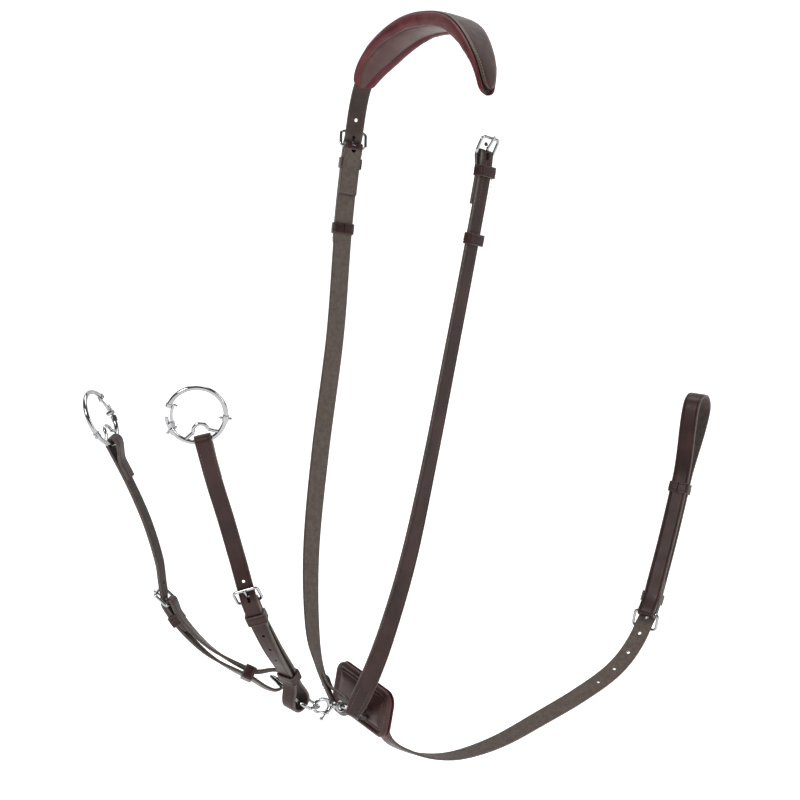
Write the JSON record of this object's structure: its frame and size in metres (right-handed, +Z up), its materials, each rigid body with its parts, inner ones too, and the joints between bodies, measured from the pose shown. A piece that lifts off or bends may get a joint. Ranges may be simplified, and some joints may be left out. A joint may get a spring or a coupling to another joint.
{
  "type": "martingale",
  "caption": "Leather hunting breastplate with a padded neck loop, chest pad, girth strap and a clip-on running martingale fork.",
  "frame": {"origin": "middle of the withers, at the centre of the crown of the neck loop", "axes": "X = 0 is the horse's mid plane and +X its near (left) side, -Y is forward, +Z is up"},
  "size_m": [0.2518, 0.7293, 0.7591],
  "materials": {
    "leather": "satin",
    "burgundy_lining": "satin",
    "foam": "matte",
    "steel": "polished",
    "spring_steel": "satin"
  },
  "bodies": {
    "harness": {"withers_pad_outer": "leather", "withers_pad_foam": "foam", "withers_pad_lining": "burgundy_lining", "near_billet": "leather", "far_billet": "leather", "near_buckle_frame": "steel", "far_buckle_frame": "steel", "near_fixed_keeper": "leather", "far_fixed_keeper": "leather", "near_neck_strap": "leather", "far_neck_strap": "leather", "breast_ring": "steel", "chest_pad_outer": "leather", "chest_pad_foam": "foam", "chest_pad_lining": "burgundy_lining", "chest_pad_tab": "leather"},
    "near_neck_tongue": {"near_buckle_tongue": "steel"},
    "far_neck_tongue": {"far_buckle_tongue": "steel"},
    "near_neck_keeper": {"near_loose_keeper": "leather"},
    "far_neck_keeper": {"far_loose_keeper": "leather"},
    "girth": {"girth_strap": "leather", "girth_buckle_frame": "steel", "girth_fixed_keeper": "leather"},
    "girth_tongue": {"girth_buckle_tongue": "steel"},
    "girth_keeper": {"girth_loop_keeper": "leather"},
    "swivel": {"snap_swivel": "steel"},
    "snap": {"snap_body": "steel", "snap_gate_pin": "steel", "snap_spring": "spring_steel"},
    "snap_gate": {"snap_gate": "steel"},
    "dee": {"fork_dee": "steel"},
    "near_arm": {"near_fork_strap": "leather", "near_fork_buckle_frame": "steel", "near_fork_fixed_keeper": "leather"},
    "near_fork_tongue": {"near_fork_buckle_tongue": "steel"},
    "near_fork_keeper": {"near_fork_loose_keeper": "leather"},
    "near_ring": {"near_ring_base": "steel", "near_ring_bow": "steel", "near_ring_pins": "steel", "near_gate_spring": "spring_steel"},
    "near_ring_gate": {"near_ring_gate": "steel"},
    "far_arm": {"far_fork_strap": "leather", "far_fork_buckle_frame": "steel", "far_fork_fixed_keeper": "leather"},
    "far_fork_tongue": {"far_fork_buckle_tongue": "steel"},
    "far_fork_keeper": {"far_fork_loose_keeper": "leather"},
    "far_ring": {"far_ring_base": "steel", "far_ring_bow": "steel", "far_ring_pins": "steel", "far_gate_spring": "spring_steel"},
    "far_ring_gate": {"far_ring_gate": "steel"}
  },
  "joints": [
    {"name": "near_neck_tongue_lift", "type": "hinge", "parent": "harness", "child": "near_neck_tongue", "pos_m": [0.113, -0.03395, -0.13996], "axis": [-0.3016, 0.9418, -0.1488], "range_deg": [0, 30]},
    {"name": "far_neck_tongue_lift", "type": "hinge", "parent": "harness", "child": "far_neck_tongue", "pos_m": [-0.113, -0.03396, -0.12596], "axis": [-0.3021, -0.9422, 0.1447], "range_deg": [0, 30]},
    {"name": "near_neck_keeper_slide", "type": "slide", "parent": "harness", "child": "near_neck_keeper", "axis": [0.076, 0.1638, 0.9836], "range_m": [-0.008, 0.008]},
    {"name": "far_neck_keeper_slide", "type": "slide", "parent": "harness", "child": "far_neck_keeper", "axis": [0.073, -0.1573, -0.9848], "range_m": [-0.008, 0.008]},
    {"name": "girth_strap_swing", "type": "hinge", "parent": "harness", "child": "girth", "pos_m": [0, -0.081, -0.69], "axis": [1, 0, 0], "range_deg": [-15, 20]},
    {"name": "girth_tongue_lift", "type": "hinge", "parent": "girth", "child": "girth_tongue", "pos_m": [0.0015, 0.26748, -0.61885], "axis": [0.8789, 0.4339, -0.1983], "range_deg": [0, 30]},
    {"name": "girth_keeper_slide", "type": "slide", "parent": "girth", "child": "girth_keeper", "axis": [0, 0.2833, 0.959], "range_m": [-0.01, 0]},
    {"name": "snap_swing", "type": "hinge", "parent": "harness", "child": "swivel", "pos_m": [0, -0.1256, -0.6836], "axis": [1, 0, 0], "range_deg": [-15, 60]},
    {"name": "snap_swivel_turn", "type": "hinge", "parent": "swivel", "child": "snap", "pos_m": [0, -0.1256, -0.6836], "axis": [0, -0.9848, 0.1736], "continuous": true},
    {"name": "snap_gate_open", "type": "hinge", "parent": "snap", "child": "snap_gate", "pos_m": [0, -0.14373, -0.68853], "axis": [1, 0, 0], "range_deg": [-25, 0], "stiffness_Nm_per_rad": 0.02, "springref_deg": 17.19},
    {"name": "fork_dee_swing", "type": "hinge", "parent": "snap", "child": "dee", "pos_m": [0, -0.15303, -0.68079], "axis": [0.9613, -0.1274, -0.2444], "range_deg": [-15, 30]},
    {"name": "near_fork_swing", "type": "hinge", "parent": "dee", "child": "near_arm", "pos_m": [0.02307, -0.19406, -0.66687], "axis": [0.9613, -0.1274, -0.2444], "range_deg": [-20, 30]},
    {"name": "near_fork_tongue_lift", "type": "hinge", "parent": "near_arm", "child": "near_fork_tongue", "pos_m": [0.07359, -0.27635, -0.56082], "axis": [0.633, 0.7203, 0.2838], "range_deg": [0, 30]},
    {"name": "near_fork_keeper_slide", "type": "slide", "parent": "near_arm", "child": "near_fork_keeper", "axis": [-0.4213, 0.5892, -0.6895], "range_m": [-0.004, 0.002]},
    {"name": "near_ring_swing", "type": "hinge", "parent": "near_arm", "child": "near_ring", "pos_m": [0.07974, -0.33054, -0.40831], "axis": [-0.5551, -0.7985, -0.2329], "range_deg": [-70, 70]},
    {"name": "near_ring_gate_open", "type": "hinge", "parent": "near_ring", "child": "near_ring_gate", "pos_m": [0.07069, -0.35775, -0.39145], "axis": [0.8182, -0.4738, -0.3256], "range_deg": [-25, 0], "stiffness_Nm_per_rad": 0.02, "springref_deg": 17.19},
    {"name": "far_fork_swing", "type": "hinge", "parent": "dee", "child": "far_arm", "pos_m": [-0.02307, -0.18794, -0.65513], "axis": [0.9613, -0.1274, -0.2444], "range_deg": [-20, 30]},
    {"name": "far_fork_tongue_lift", "type": "hinge", "parent": "far_arm", "child": "far_fork_tongue", "pos_m": [-0.07359, -0.27633, -0.57685], "axis": [0.6336, -0.7233, -0.2748], "range_deg": [0, 30]},
    {"name": "far_fork_keeper_slide", "type": "slide", "parent": "far_arm", "child": "far_fork_keeper", "axis": [0.4979, 0.7571, -0.4229], "range_m": [-0.004, 0.002]},
    {"name": "far_ring_swing", "type": "hinge", "parent": "far_arm", "child": "far_ring", "pos_m": [-0.08007, -0.33526, -0.41797], "axis": [-0.6385, 0.7256, 0.2565], "range_deg": [-70, 70]},
    {"name": "far_ring_gate_open", "type": "hinge", "parent": "far_ring", "child": "far_ring_gate", "pos_m": [-0.09825, -0.32943, -0.39072], "axis": [-0.7551, -0.5262, -0.3911], "range_deg": [-25, 0], "stiffness_Nm_per_rad": 0.02, "springref_deg": 17.19}
  ]
}
